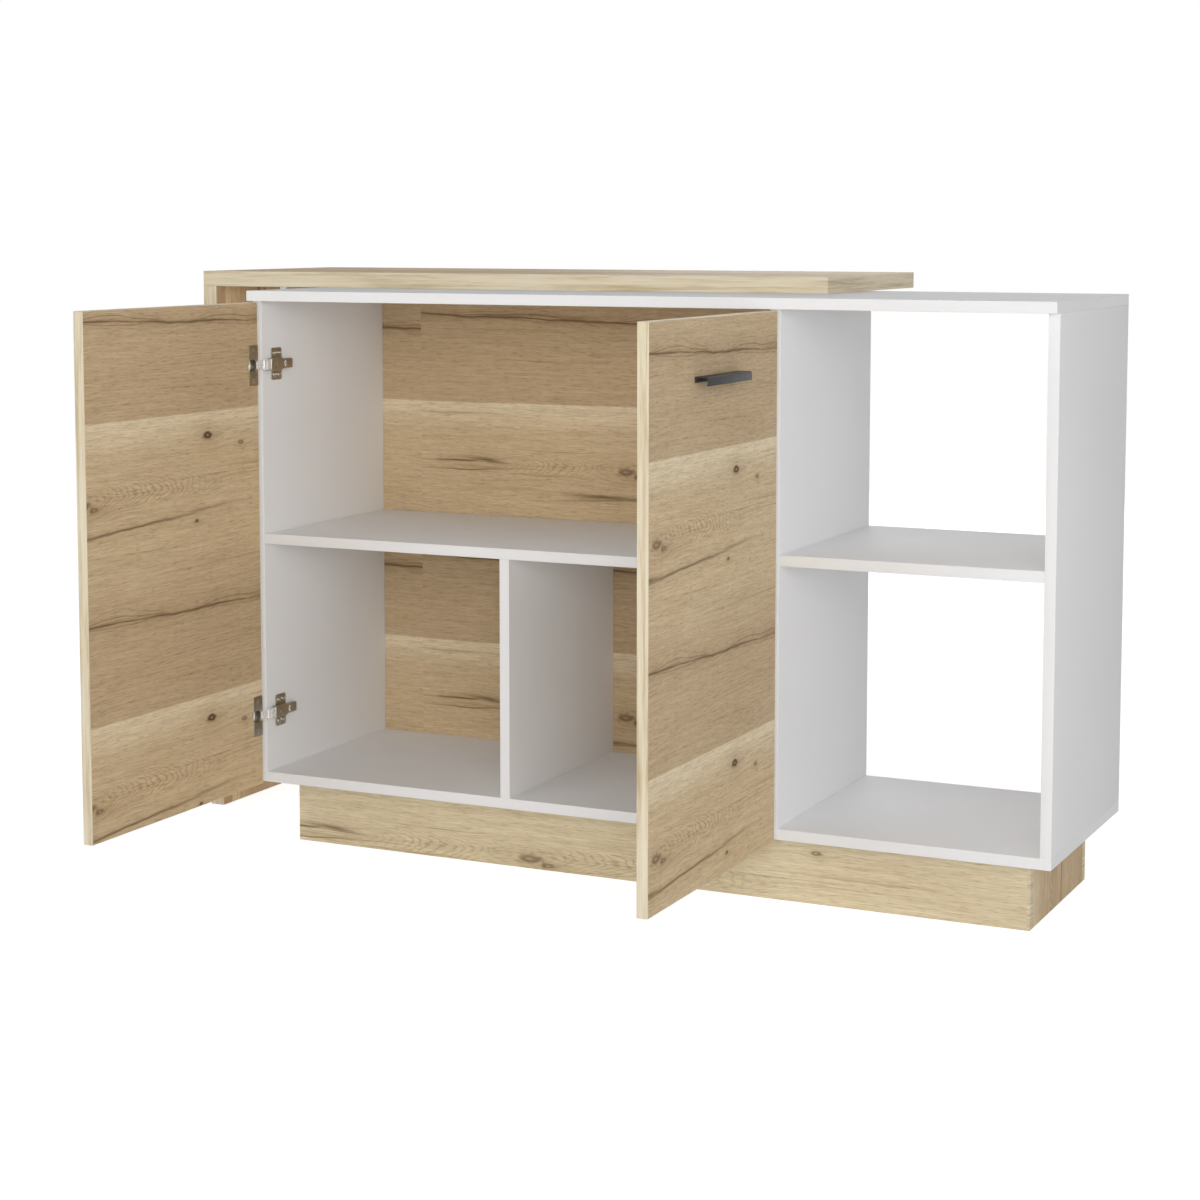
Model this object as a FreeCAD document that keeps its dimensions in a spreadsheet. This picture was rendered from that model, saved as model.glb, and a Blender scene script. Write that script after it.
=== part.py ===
import FreeCAD, Part
import os
import re

# A kitchen island: a white cabinet on an oak plinth with two oak doors and two open niches,
# and an oak breakfast bar with one leg panel that is screwed down on the cabinet's top.
# Millimetres, +Z up. The origin is on the floor under the middle of the cabinet's footprint.
# The doors are drawn standing open at a right angle, hinge edges in front of their panels.

doc = FreeCAD.newDocument("KitchenIsland")
sheet = doc.addObject("Spreadsheet::Sheet", "Sizes")

SIZES = {
    # Cabinet
    "cabinet_width": 1275,
    "side_depth": 382,
    "side_height": 741,
    "board": 16,
    "niche_width": 382,
    "lower_height": 362,
    "edge_round": 0.8,
    # Plinth
    "plinth_height": 102,
    "plinth_side_recess": 42,
    "plinth_front_recess": 51,
    "plinth_rear_recess": 29,
    # Breakfast bar
    "bar_length": 1100,
    "bar_depth": 400,
    "bar_board": 25,
    "bar_overhang": 212,
    "leg_gap": 200,
    "edging": 1,
    # Doors
    "door_gap": 2,
    "door_top_gap": 2,
    "door_reveal": 1.5,
    "doors_gap": 3,
    "axis_from_edge": 2,
    "axis_from_face": 3.5,
    # Door handles
    "handle_length": 148,
    "handle_reach": 20,
    "handle_lip": 12,
    "handle_flange": 8,
    "handle_wall": 2,
    "handle_drop": 76,
    "handle_screw_inset": 22,
    "handle_screw_drop": 5.2,
    # Concealed hinges: cup in the door, plate and arm on the cabinet, link between them
    "upper_hinge_drop": 97,
    "lower_hinge_rise": 109,
    "cup_radius": 17.5,
    "cup_rim": 1,
    "cup_depth": 12.5,
    "cup_wall": 0.8,
    "cup_setback": 22.5,
    "flange_height": 63,
    "flange_width": 24,
    "flange_thickness": 1,
    "flange_inset": 0.5,
    "flange_screw_setback": 14,
    "flange_screw_spacing": 48,
    "notch_inset": 3,
    "notch_clearance": 0.4,
    "plate_setback": 38,
    "plate_wing": 28,
    "plate_height": 50,
    "plate_thickness": 2,
    "plate_screw_spacing": 34,
    "plate_screw_pitch": 13,
    "plate_core_front": 22,
    "plate_core_length": 42,
    "arm_stand_off": 3,
    "arm_rise": 6,
    "arm_height": 16,
    "arm_wall": 1.4,
    "arm_reach": 6.5,
    "arm_length": 73,
    "arm_web_setback": 2,
    "arm_screw_front": 25,
    "arm_screw_spacing": 27.5,
    "link_pin_offset": 6,
    "link_pin_reach": 4,
    "link_pin_radius": 1.3,
    "link_length": 16.5,
    "link_thickness": 1.8,
    "link_eye_radius": 2.2,
    "link_tilt": 13,
    "link_side_clearance": 0.4,
    "running_clearance": 0.05,
    # Dowels
    "dowel_radius": 4,
    "dowel_length": 30,
    "dowel_face_depth": 10,
    "dowel_inset": 60,
    "dowel_end_gap": 0.5,
    # Screws
    "fit_clearance": 0.1,
    "confirmat_length": 50,
    "confirmat_radius": 3.5,
    "confirmat_head_radius": 5,
    "confirmat_head_height": 4,
    "confirmat_inset": 50,
    "cup_screw_length": 12,
    "cup_screw_radius": 1.8,
    "cup_screw_head_radius": 3.6,
    "cup_screw_head_height": 1.8,
    "bar_screw_length": 35,
    "bracket_screw_length": 13,
    "hinge_screw_length": 12,
    "arm_screw_length": 4,
    "handle_screw_length": 12,
    "screw_radius": 1.8,
    "head_radius": 3.7,
    "head_height": 1.9,
    "small_screw_radius": 1.2,
    "small_head_radius": 2.2,
    "small_head_height": 1.4,
    "socket_width_share": 0.5,
    "drive_width_share": 0.22,
    "drive_length_share": 1.2,
    "drive_depth_share": 0.6,
    # Steel angle brackets
    "bracket_leg": 40,
    "bracket_width": 20,
    "bracket_thickness": 2,
    "bracket_hole_share": 0.62,
    # Cuts run this far past the faces that they open
    "overrun": 1,
    # Places of repeated pieces, as shares of the piece that carries them
    "low_share": 0.25,
    "high_share": 0.75,
    "bar_near_share": 0.15,
    "bar_middle_share": 0.5,
    "bar_far_share": 0.85,
    "bar_screw_first_share": 0.1,
    "bar_screw_second_share": 0.37,
    "bar_screw_third_share": 0.63,
    "bar_screw_fourth_share": 0.9,
    "bracket_place_share": 0.3,
}

for row, (alias, value) in enumerate(SIZES.items(), start=1):
    sheet.set(f"A{row}", alias)
    sheet.set(f"B{row}", str(value))
    sheet.setAlias(f"B{row}", alias)
doc.recompute()

# Planes of the cabinet, as formulas of the sheet's names
LEFT = "(-cabinet_width / 2)"
RIGHT = "(cabinet_width / 2)"
FRONT = "(-side_depth / 2)"
REAR = "(side_depth / 2)"
LEFT_INNER = f"({LEFT} + board)"
RIGHT_INNER = f"({RIGHT} - board)"
DIVIDER_RIGHT = f"({RIGHT_INNER} - niche_width)"
DIVIDER_LEFT = f"({DIVIDER_RIGHT} - board)"
CUPBOARD_WIDTH = f"({DIVIDER_LEFT} - {LEFT_INNER})"
CUPBOARD_MIDDLE = f"(({LEFT_INNER} + {DIVIDER_LEFT}) / 2)"
BACK = f"({REAR} - board)"
DECK = "(plinth_height + board)"
SHELF = f"({DECK} + lower_height)"
SHELF_TOP = f"({SHELF} + board)"
CEILING = f"({DECK} + side_height)"
WORKTOP = f"({CEILING} + board)"
UPPER_HEIGHT = f"({CEILING} - {SHELF_TOP})"

# Planes of the plinth, the bar and the open doors
PLINTH_LEFT = f"({LEFT} + plinth_side_recess)"
PLINTH_RIGHT = f"({RIGHT} - plinth_side_recess)"
PLINTH_FRONT = f"({FRONT} + plinth_front_recess)"
PLINTH_REAR = f"({REAR} - plinth_rear_recess)"
PLINTH_LENGTH = f"({PLINTH_RIGHT} - {PLINTH_LEFT})"
PLINTH_INSIDE = f"({PLINTH_REAR} - {PLINTH_FRONT} - 2 * board)"
BAR_LEFT = f"({LEFT} - leg_gap - bar_board)"
BAR_RIGHT = f"({BAR_LEFT} + bar_length)"
BAR_REAR = f"({REAR} + bar_overhang)"
BAR_FRONT = f"({BAR_REAR} - bar_depth)"
LEG_INNER = f"({BAR_LEFT} + bar_board)"
DOOR_WIDTH = f"(({DIVIDER_RIGHT} - {LEFT} - 2 * door_reveal - doors_gap) / 2)"
DOOR_TOP = f"({CEILING} - door_top_gap)"
DOOR_HEIGHT = f"({DOOR_TOP} - plinth_height)"
DOOR_HINGE_EDGE = f"({FRONT} - door_gap - board + axis_from_face + axis_from_edge)"
DOOR_SHIFT = "(door_reveal + axis_from_edge + board - axis_from_face)"
DOOR_FREE_EDGE = f"({DOOR_HINGE_EDGE} - {DOOR_WIDTH})"

# Inner face of each open door, inner face of the panel that carries it
DOOR_FACE = {"left": f"({LEFT} + {DOOR_SHIFT})", "right": f"({DIVIDER_RIGHT} - {DOOR_SHIFT})"}
PANEL_FACE = {"left": LEFT_INNER, "right": DIVIDER_LEFT}
INTO_DOOR = {"left": "-X", "right": "+X"}
OUT_OF_DOOR = {"left": "+X", "right": "-X"}
OTHER_SIDE = {"left": "right", "right": "left"}
HINGE_HEIGHT = {
    "upper": f"({DOOR_TOP} - upper_hinge_drop)",
    "lower": "(plinth_height + lower_hinge_rise)",
}

AIM = {
    "+X": FreeCAD.Rotation(FreeCAD.Vector(0, 1, 0), 90),
    "-X": FreeCAD.Rotation(FreeCAD.Vector(0, 1, 0), -90),
    "+Y": FreeCAD.Rotation(FreeCAD.Vector(1, 0, 0), -90),
    "-Y": FreeCAD.Rotation(FreeCAD.Vector(1, 0, 0), 90),
    "+Z": FreeCAD.Rotation(),
    "-Z": FreeCAD.Rotation(FreeCAD.Vector(1, 0, 0), 180),
}

nodes = []


def bound(formula):
    """Each plain word in a formula is a name in the sheet."""
    return re.sub(r"[a-z][a-z_]*", lambda word: f"Sizes.{word.group()}", formula)


def place(item, at, rotation=None):
    if rotation:
        item.Placement = FreeCAD.Placement(FreeCAD.Vector(), rotation)
    for axis, formula in zip("xyz", at):
        item.setExpression(f"Placement.Base.{axis}", bound(formula))
    return item


def block(size, at):
    item = doc.addObject("Part::Box", "Block")
    for name, formula in zip(("Length", "Width", "Height"), size):
        item.setExpression(name, bound(formula))
    return place(item, at)


def along(at, aim, distance):
    """The point that lies a distance from another one, in the direction of an aim."""
    index = "XYZ".index(aim[1])
    moved = list(at)
    moved[index] = f"({at[index]} {aim[0]} ({distance}))"
    return moved


def rod(aim, radius, length, at):
    item = doc.addObject("Part::Cylinder", "Rod")
    item.setExpression("Radius", bound(radius))
    item.setExpression("Height", bound(length))
    return place(item, at, AIM[aim])


def cone(aim, wide, narrow, length, at):
    item = doc.addObject("Part::Cone", "Cone")
    item.setExpression("Radius1", bound(wide))
    item.setExpression("Radius2", bound(narrow))
    item.setExpression("Height", bound(length))
    return place(item, at, AIM[aim])


def grouped(items):
    """Separate solids kept side by side."""
    if len(items) == 1:
        return items[0]
    group = doc.addObject("Part::Compound", "Group")
    group.Links = items
    return group


def fused(items):
    whole = doc.addObject("Part::MultiFuse", "Fused")
    whole.Shapes = items
    whole.Refine = True
    return whole


def without(item, tools):
    result = doc.addObject("Part::Cut", "Bored")
    result.Base = item
    result.Tool = grouped(tools)
    return result


def eased(item):
    """A block with its twelve edges slightly rounded."""
    soft = doc.addObject("Part::Fillet", "Eased")
    soft.Base = item
    radius = sheet.get("edge_round")
    soft.Edges = [(edge, radius, radius) for edge in range(1, 13)]
    return soft


def node(label, item):
    item.Label = label
    nodes.append(item)
    return item


def inward(side, face, start, length="0"):
    """Lowest X of a block that starts some way from a face, towards the cupboard's middle."""
    if side == "left":
        return f"({face} + ({start}))"
    return f"({face} - ({start}) - ({length}))"


def outward(side, face, start, length="0"):
    return inward(OTHER_SIDE[side], face, start, length)


# Dowels: a pin across the plane where two boards meet, and the hole it sits in

def dowel(aim, at):
    """The pin's short end is in the board behind the plane, the long end in the aim's direction."""
    start = along(at, aim, "-dowel_face_depth")
    pin = rod(aim, "dowel_radius", "dowel_length", start)
    hole_start = along(at, aim, "-dowel_face_depth - dowel_end_gap")
    hole_length = "dowel_length + 2 * dowel_end_gap"
    hole = rod(aim, "dowel_radius + fit_clearance", hole_length, hole_start)
    return pin, hole


class Joinery:
    """Collects the pins or screws of one group, and the holes that each board needs."""

    def __init__(self):
        self.pieces = []
        self.holes = {}

    def add(self, pair, *boards):
        piece, hole = pair
        self.pieces.append(piece)
        for board in boards:
            self.holes.setdefault(board, []).append(hole)


# Screws: the solid, and the hole with its clearance

def sunk_screw(aim, at, kind):
    """A flush-headed screw with a round socket, its head's face at the given point."""
    radius = f"{kind}_radius"
    head_radius = f"{kind}_head_radius"
    head_height = f"{kind}_head_height"

    def turned(extra):
        head = cone(aim, f"{head_radius} + {extra}", f"{radius} + {extra}", head_height, at)
        shank = rod(
            aim,
            f"{radius} + {extra}",
            f"{kind}_length - {head_height} + {extra}",
            along(at, aim, head_height),
        )
        return fused([head, shank])

    socket = rod(aim, f"{head_radius} * socket_width_share", f"{head_height} * drive_depth_share", at)
    return without(turned("0"), [socket]), turned("fit_clearance")


def pan_screw(aim, at, length, size=""):
    """A round-headed screw with a cross slot, its head seated at the given point."""
    shank_radius = f"{size}screw_radius"
    head_radius = f"{size}head_radius"
    head_height = f"{size}head_height"
    top = along(at, aim, f"-{head_height}")
    head = rod(aim, head_radius, head_height, top)
    shank = rod(aim, shank_radius, length, at)
    slot_length = f"({head_radius} * drive_length_share)"
    slot_width = f"({head_radius} * drive_width_share)"
    slot_depth = f"({head_height} * drive_depth_share)"
    index = "XYZ".index(aim[1])
    slots = []
    for turned in (False, True):
        across = [slot_width, slot_length] if turned else [slot_length, slot_width]
        across.insert(index, f"({slot_depth} + overrun)")
        lowest = [f"({middle} - {extent} / 2)" for middle, extent in zip(top, across)]
        shift = f"({across[index]} / 2 - overrun)"
        slots.append(block(across, along(lowest, aim, shift)))
    screw = without(fused([head, shank]), [fused(slots)])
    hole = rod(aim, f"{shank_radius} + fit_clearance", f"{length} + fit_clearance", at)
    return screw, hole


# Joints between the cabinet's boards

dowels = Joinery()
screws = Joinery()
ROWS = (f"({FRONT} + dowel_inset)", f"({REAR} - dowel_inset)")

for board, middle in (
    ("left_side", f"({LEFT} + board / 2)"),
    ("divider", f"({DIVIDER_LEFT} + board / 2)"),
    ("right_side", f"({RIGHT} - board / 2)"),
):
    for row in ROWS:
        dowels.add(dowel("-Z", (middle, row, CEILING)), "top_board", board)
    for row in (f"({FRONT} + confirmat_inset)", f"({REAR} - confirmat_inset)"):
        screw = sunk_screw("+Z", (middle, row, "plinth_height"), "confirmat")
        screws.add(screw, "bottom_board", board)

for row in (f"({FRONT} + confirmat_inset)", f"({BACK} - confirmat_inset)"):
    screw = sunk_screw("+Z", (CUPBOARD_MIDDLE, row, "plinth_height"), "confirmat")
    screws.add(screw, "bottom_board", "partition")
for row in (f"({FRONT} + dowel_inset)", f"({BACK} - dowel_inset)"):
    dowels.add(dowel("-Z", (CUPBOARD_MIDDLE, row, SHELF)), "cupboard_shelf", "partition")

for row in ROWS:
    shelf_level = f"({SHELF} + board / 2)"
    niche_level = f"({SHELF_TOP} + board / 2)"
    dowels.add(dowel("+X", (LEFT_INNER, row, shelf_level)), "left_side", "cupboard_shelf")
    dowels.add(dowel("-X", (DIVIDER_LEFT, row, shelf_level)), "divider", "cupboard_shelf")
    dowels.add(dowel("+X", (DIVIDER_RIGHT, row, niche_level)), "divider", "open_shelf")
    dowels.add(dowel("-X", (RIGHT_INNER, row, niche_level)), "right_side", "open_shelf")

for back, floor, height in (("upper_back", SHELF_TOP, UPPER_HEIGHT), ("lower_back", DECK, "lower_height")):
    for share in ("low_share", "high_share"):
        level = f"({floor} + {height} * {share})"
        middle = f"({BACK} + board / 2)"
        dowels.add(dowel("+X", (LEFT_INNER, middle, level)), "left_side", back)
        dowels.add(dowel("-X", (DIVIDER_LEFT, middle, level)), "divider", back)

# Joints of the plinth: dowelled corners, and steel angles under the bottom board

plinth_dowels = Joinery()
for board, middle in (
    ("plinth_left", f"({PLINTH_LEFT} + board / 2)"),
    ("plinth_stretcher", "0"),
    ("plinth_right", f"({PLINTH_RIGHT} - board / 2)"),
):
    for share in ("low_share", "high_share"):
        level = f"(plinth_height * {share})"
        front_joint = (middle, f"({PLINTH_FRONT} + board)", level)
        rear_joint = (middle, f"({PLINTH_REAR} - board)", level)
        plinth_dowels.add(dowel("+Y", front_joint), "plinth_front", board)
        plinth_dowels.add(dowel("-Y", rear_joint), "plinth_rear", board)


def angle_bracket(aim, corner, level):
    """A steel angle under a board at a level, its upright against a face that it aims away from.

    The corner is the middle of the line where the face meets the board.
    """
    index = "XY".index(aim[1])
    back = "-" if aim[0] == "+" else "+"

    def leaf(thickness, height):
        size = ["bracket_width", "bracket_width", height]
        size[index] = thickness
        at = [f"({middle} - bracket_width / 2)" for middle in corner] + [f"({level} - {height})"]
        at[index] = corner[index] if aim[0] == "+" else f"({corner[index]} - {thickness})"
        return block(size, at)

    flat = leaf("bracket_leg", "bracket_thickness")
    upright = leaf("bracket_thickness", "bracket_leg")
    point = list(corner) + [level]
    reach = "bracket_leg * bracket_hole_share"
    up_point = along(along(point, aim, reach), "-Z", "bracket_thickness")
    side_point = along(along(point, aim, "bracket_thickness"), "-Z", reach)
    up = pan_screw("+Z", up_point, "bracket_screw_length")
    across = pan_screw(back + aim[1], side_point, "bracket_screw_length")
    bracket = without(fused([flat, upright]), [up[1], across[1]])
    return bracket, up, across


plinth_brackets = []
plinth_screws = Joinery()
for sign in ("-", "+"):
    x = f"({sign}{PLINTH_LENGTH} * bracket_place_share)"
    for board, aim, face in (
        ("plinth_front", "+Y", f"({PLINTH_FRONT} + board)"),
        ("plinth_rear", "-Y", f"({PLINTH_REAR} - board)"),
    ):
        bracket, up, across = angle_bracket(aim, (x, face), "plinth_height")
        plinth_brackets.append(bracket)
        plinth_screws.add(up, "bottom_board")
        plinth_screws.add(across, board)

# Joints of the bar: screws up through the cabinet's top, dowels and angles at the leg

bar_screws = Joinery()
for ordinal in ("first", "second", "third", "fourth"):
    x = f"({LEFT} + ({BAR_RIGHT} - {LEFT}) * bar_screw_{ordinal}_share)"
    y = f"(({BAR_FRONT} + {REAR}) / 2)"
    bar_screws.add(pan_screw("+Z", (x, y, CEILING), "bar_screw_length"), "top_board", "bar_top")

bar_dowels = Joinery()
for share in ("bar_near_share", "bar_middle_share", "bar_far_share"):
    joint = (f"({BAR_LEFT} + bar_board / 2)", f"({BAR_FRONT} + bar_depth * {share})", WORKTOP)
    bar_dowels.add(dowel("-Z", joint), "bar_top", "bar_leg")

bar_brackets = []
bar_bracket_screws = Joinery()
for share in ("bar_middle_share", "bar_far_share"):
    y = f"({BAR_FRONT} + bar_depth * {share})"
    bracket, up, across = angle_bracket("+X", (LEG_INNER, y), WORKTOP)
    bar_brackets.append(bracket)
    bar_bracket_screws.add(up, "bar_top")
    bar_bracket_screws.add(across, "bar_leg")

# Hinges: every piece is set from the panel's or the door's inner face

hinge_screws = Joinery()
arm_screws = Joinery()
cup_screws = {"left": Joinery(), "right": Joinery()}
handle_screws = {"left": Joinery(), "right": Joinery()}
cup_bores = {"left": [], "right": []}
hinge_pins = []

ARM_TOP = "(arm_stand_off + arm_rise)"
CHANNEL_HEIGHT = "(arm_height - 2 * arm_wall)"
LINK_HEIGHT = f"({CHANNEL_HEIGHT} - 2 * link_side_clearance)"


def hinge_plate(side, level):
    """A cross-shaped mounting plate: two wings for its screws, and a core that the arm covers."""
    face = PANEL_FACE[side]
    middle = f"({FRONT} + plate_setback)"
    wings = block(
        ("plate_thickness", "plate_wing", "plate_height"),
        (
            inward(side, face, "0", "plate_thickness"),
            f"({middle} - plate_wing / 2)",
            f"({level} - plate_height / 2)",
        ),
    )
    core_rise = f"({ARM_TOP} - arm_wall - fit_clearance)"
    core_height = f"({CHANNEL_HEIGHT} - 2 * fit_clearance)"
    core = block(
        (core_rise, "plate_core_length", core_height),
        (
            inward(side, face, "0", core_rise),
            f"({FRONT} + plate_core_front)",
            f"({level} - {core_height} / 2)",
        ),
    )
    holes = []
    for row, rise in (("-", "-"), ("-", "+"), ("+", "-"), ("+", "+")):
        at = (
            inward(side, face, "plate_thickness"),
            f"({middle} {row} plate_screw_pitch / 2)",
            f"({level} {rise} plate_screw_spacing / 2)",
        )
        screw = pan_screw(INTO_DOOR[side], at, "hinge_screw_length")
        hinge_screws.add(screw, PANEL_OF[side])
        holes.append(screw[1])
    return without(fused([wings, core]), holes + arm_screw_holes(side, level))


def arm_screw_holes(side, level):
    """The two set screws that hold an arm on its plate; returns the holes that they need."""
    holes = []
    for row in ("arm_screw_front", "arm_screw_front + arm_screw_spacing"):
        at = (inward(side, PANEL_FACE[side], ARM_TOP), f"({FRONT} + {row})", level)
        screw = pan_screw(INTO_DOOR[side], at, "arm_screw_length", "small_")
        arm_screws.add(screw)
        holes.append(screw[1])
    return holes


def hinge_arm(side, level):
    """A channel over the plate's core whose two cheeks reach forward to the link's pin."""
    face = PANEL_FACE[side]
    length = "(arm_reach + arm_length)"
    start = f"({FRONT} - arm_reach)"
    channel = block(
        ("arm_rise", length, "arm_height"),
        (inward(side, face, "arm_stand_off", "arm_rise"), start, f"({level} - arm_height / 2)"),
    )
    hollow = block(
        ("arm_rise - arm_wall + overrun", f"{length} + 2 * overrun", CHANNEL_HEIGHT),
        (
            inward(side, face, "arm_stand_off - overrun", "arm_rise - arm_wall + overrun"),
            f"({start} - overrun)",
            f"({level} - {CHANNEL_HEIGHT} / 2)",
        ),
    )
    mouth = block(
        ("arm_rise + 2 * overrun", "arm_reach + arm_web_setback + overrun", CHANNEL_HEIGHT),
        (
            inward(side, face, "arm_stand_off - overrun", "arm_rise + 2 * overrun"),
            f"({start} - overrun)",
            f"({level} - {CHANNEL_HEIGHT} / 2)",
        ),
    )
    pin_hole = rod(
        "+Z",
        "link_pin_radius",
        "arm_height + 2 * overrun",
        (*pin_centre(side), f"({level} - arm_height / 2 - overrun)"),
    )
    set_screw_holes = []
    for row in ("arm_screw_front", "arm_screw_front + arm_screw_spacing"):
        at = (inward(side, face, f"{ARM_TOP} - arm_wall - overrun"), f"({FRONT} + {row})", level)
        hole = rod(
            OUT_OF_DOOR[side],
            "small_screw_radius + fit_clearance",
            "arm_wall + 2 * overrun",
            at,
        )
        set_screw_holes.append(hole)
    return without(channel, [fused([hollow, mouth]), pin_hole] + set_screw_holes)


def pin_centre(side):
    return inward(side, PANEL_FACE[side], "link_pin_offset"), f"({FRONT} - link_pin_reach)"


def hinge_pin(side, level):
    return rod("+Z", "link_pin_radius", "arm_height", (*pin_centre(side), f"({level} - arm_height / 2)"))


def hinge_link(side, level):
    """A strap that turns on the arm's pin and reaches over the cup's notch."""
    eye = rod("+Z", "link_eye_radius", LINK_HEIGHT, ("0", "0", f"(-{LINK_HEIGHT} / 2)"))
    strap = block(
        ("link_thickness", "link_length", LINK_HEIGHT),
        ("(-link_thickness / 2)", "(-link_length)", f"(-{LINK_HEIGHT} / 2)"),
    )
    bore = rod(
        "+Z",
        "link_pin_radius + running_clearance",
        f"{LINK_HEIGHT} + 2 * overrun",
        ("0", "0", f"(-{LINK_HEIGHT} / 2 - overrun)"),
    )
    link = without(fused([eye, strap]), [bore])
    tilt = sheet.get("link_tilt") * (-1 if side == "left" else 1)
    turn = FreeCAD.Rotation(FreeCAD.Vector(0, 0, 1), tilt)
    return place(link, (*pin_centre(side), level), turn)


def hinge_cup(side, level):
    """A pressed cup let into the door, with a rim, screw wings and a notch for the link."""
    face = DOOR_FACE[side]
    centre = f"({DOOR_HINGE_EDGE} - cup_setback)"
    mouth = (inward(side, face, "flange_thickness"), centre, level)
    rim = rod(INTO_DOOR[side], "cup_radius + cup_rim", "flange_thickness", mouth)
    bowl = rod(INTO_DOOR[side], "cup_radius", "cup_depth + flange_thickness", mouth)
    wings = block(
        ("flange_thickness", "flange_width", "flange_height"),
        (
            inward(side, face, "0", "flange_thickness"),
            f"({DOOR_HINGE_EDGE} - flange_inset - flange_width)",
            f"({level} - flange_height / 2)",
        ),
    )
    hollow = rod(
        INTO_DOOR[side],
        "cup_radius - cup_wall",
        "cup_depth - cup_wall + flange_thickness + overrun",
        along(mouth, INTO_DOOR[side], "-overrun"),
    )
    notch_height = f"({LINK_HEIGHT} + 2 * notch_clearance)"
    notch = block(
        ("flange_thickness + overrun", "cup_setback - notch_inset", notch_height),
        (
            inward(side, face, "0", "flange_thickness + overrun"),
            centre,
            f"({level} - {notch_height} / 2)",
        ),
    )
    holes = []
    for sign in ("-", "+"):
        at = (
            inward(side, face, "flange_thickness"),
            f"({DOOR_HINGE_EDGE} - flange_screw_setback)",
            f"({level} {sign} flange_screw_spacing / 2)",
        )
        screw = sunk_screw(INTO_DOOR[side], at, "cup_screw")
        cup_screws[side].add(screw, "panel")
        holes.append(screw[1])
    bore = rod(
        INTO_DOOR[side],
        "cup_radius + fit_clearance",
        "cup_depth + fit_clearance",
        (face, centre, level),
    )
    cup_bores[side].append(bore)
    return without(fused([rim, bowl, wings]), [fused([hollow, notch])] + holes)


PANEL_OF = {"left": "left_side", "right": "divider"}

for side in ("left", "right"):
    for height, level in HINGE_HEIGHT.items():
        node(f"{side}_{height}_hinge_plate", hinge_plate(side, level))
        node(f"{side}_{height}_hinge_arm", hinge_arm(side, level))
        hinge_pins.append(hinge_pin(side, level))
        node(f"{side}_{height}_hinge_link", hinge_link(side, level))
        node(f"{side}_{height}_hinge_cup", hinge_cup(side, level))

# Doors and handles


def door_blank(side, margin, overrun):
    """The open door's outline, set back by a margin at its edges and longer through its faces."""
    return block(
        (f"board + 2 * {overrun}", f"{DOOR_WIDTH} - 2 * {margin}", f"{DOOR_HEIGHT} - 2 * {margin}"),
        (
            outward(side, DOOR_FACE[side], f"-{overrun}", f"board + 2 * {overrun}"),
            f"({DOOR_FREE_EDGE} + {margin})",
            f"(plinth_height + {margin})",
        ),
    )


def door_handle(side):
    """A bent strip: a flange on the door, a shelf to pull on and a lip turned down in front."""
    face = outward(side, DOOR_FACE[side], "board")
    middle = f"({DOOR_HINGE_EDGE} - {DOOR_WIDTH} / 2)"
    start = f"({middle} - handle_length / 2)"
    top = f"({DOOR_TOP} - handle_drop)"

    def strip(distance, reach, height):
        return block(
            (reach, "handle_length", height),
            (outward(side, face, distance, reach), start, f"({top} - {height})"),
        )

    flange = strip("0", "handle_wall", "handle_flange")
    shelf = strip("0", "handle_reach", "handle_wall")
    lip = strip("handle_reach - handle_wall", "handle_wall", "handle_lip")
    holes = []
    for sign in ("-", "+"):
        at = (
            outward(side, face, "handle_wall"),
            f"({middle} {sign} (handle_length / 2 - handle_screw_inset))",
            f"({top} - handle_screw_drop)",
        )
        screw = pan_screw(OUT_OF_DOOR[side], at, "handle_screw_length", "small_")
        handle_screws[side].add(screw, "panel")
        holes.append(screw[1])
    return without(fused([flange, shelf, lip]), holes)


for side in ("left", "right"):
    node(f"{side}_door_handle", door_handle(side))
    bores = cup_bores[side] + cup_screws[side].holes["panel"] + handle_screws[side].holes["panel"]
    node(f"{side}_door_panel", without(door_blank(side, "edging", "0"), bores))
    rounded = eased(door_blank(side, "0", "0"))
    node(f"{side}_door_edging", without(rounded, [door_blank(side, "edging", "overrun")]))
    node(f"{side}_cup_screws", grouped(cup_screws[side].pieces))
    node(f"{side}_handle_screws", grouped(handle_screws[side].pieces))

# Boards of the cabinet and the plinth

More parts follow.
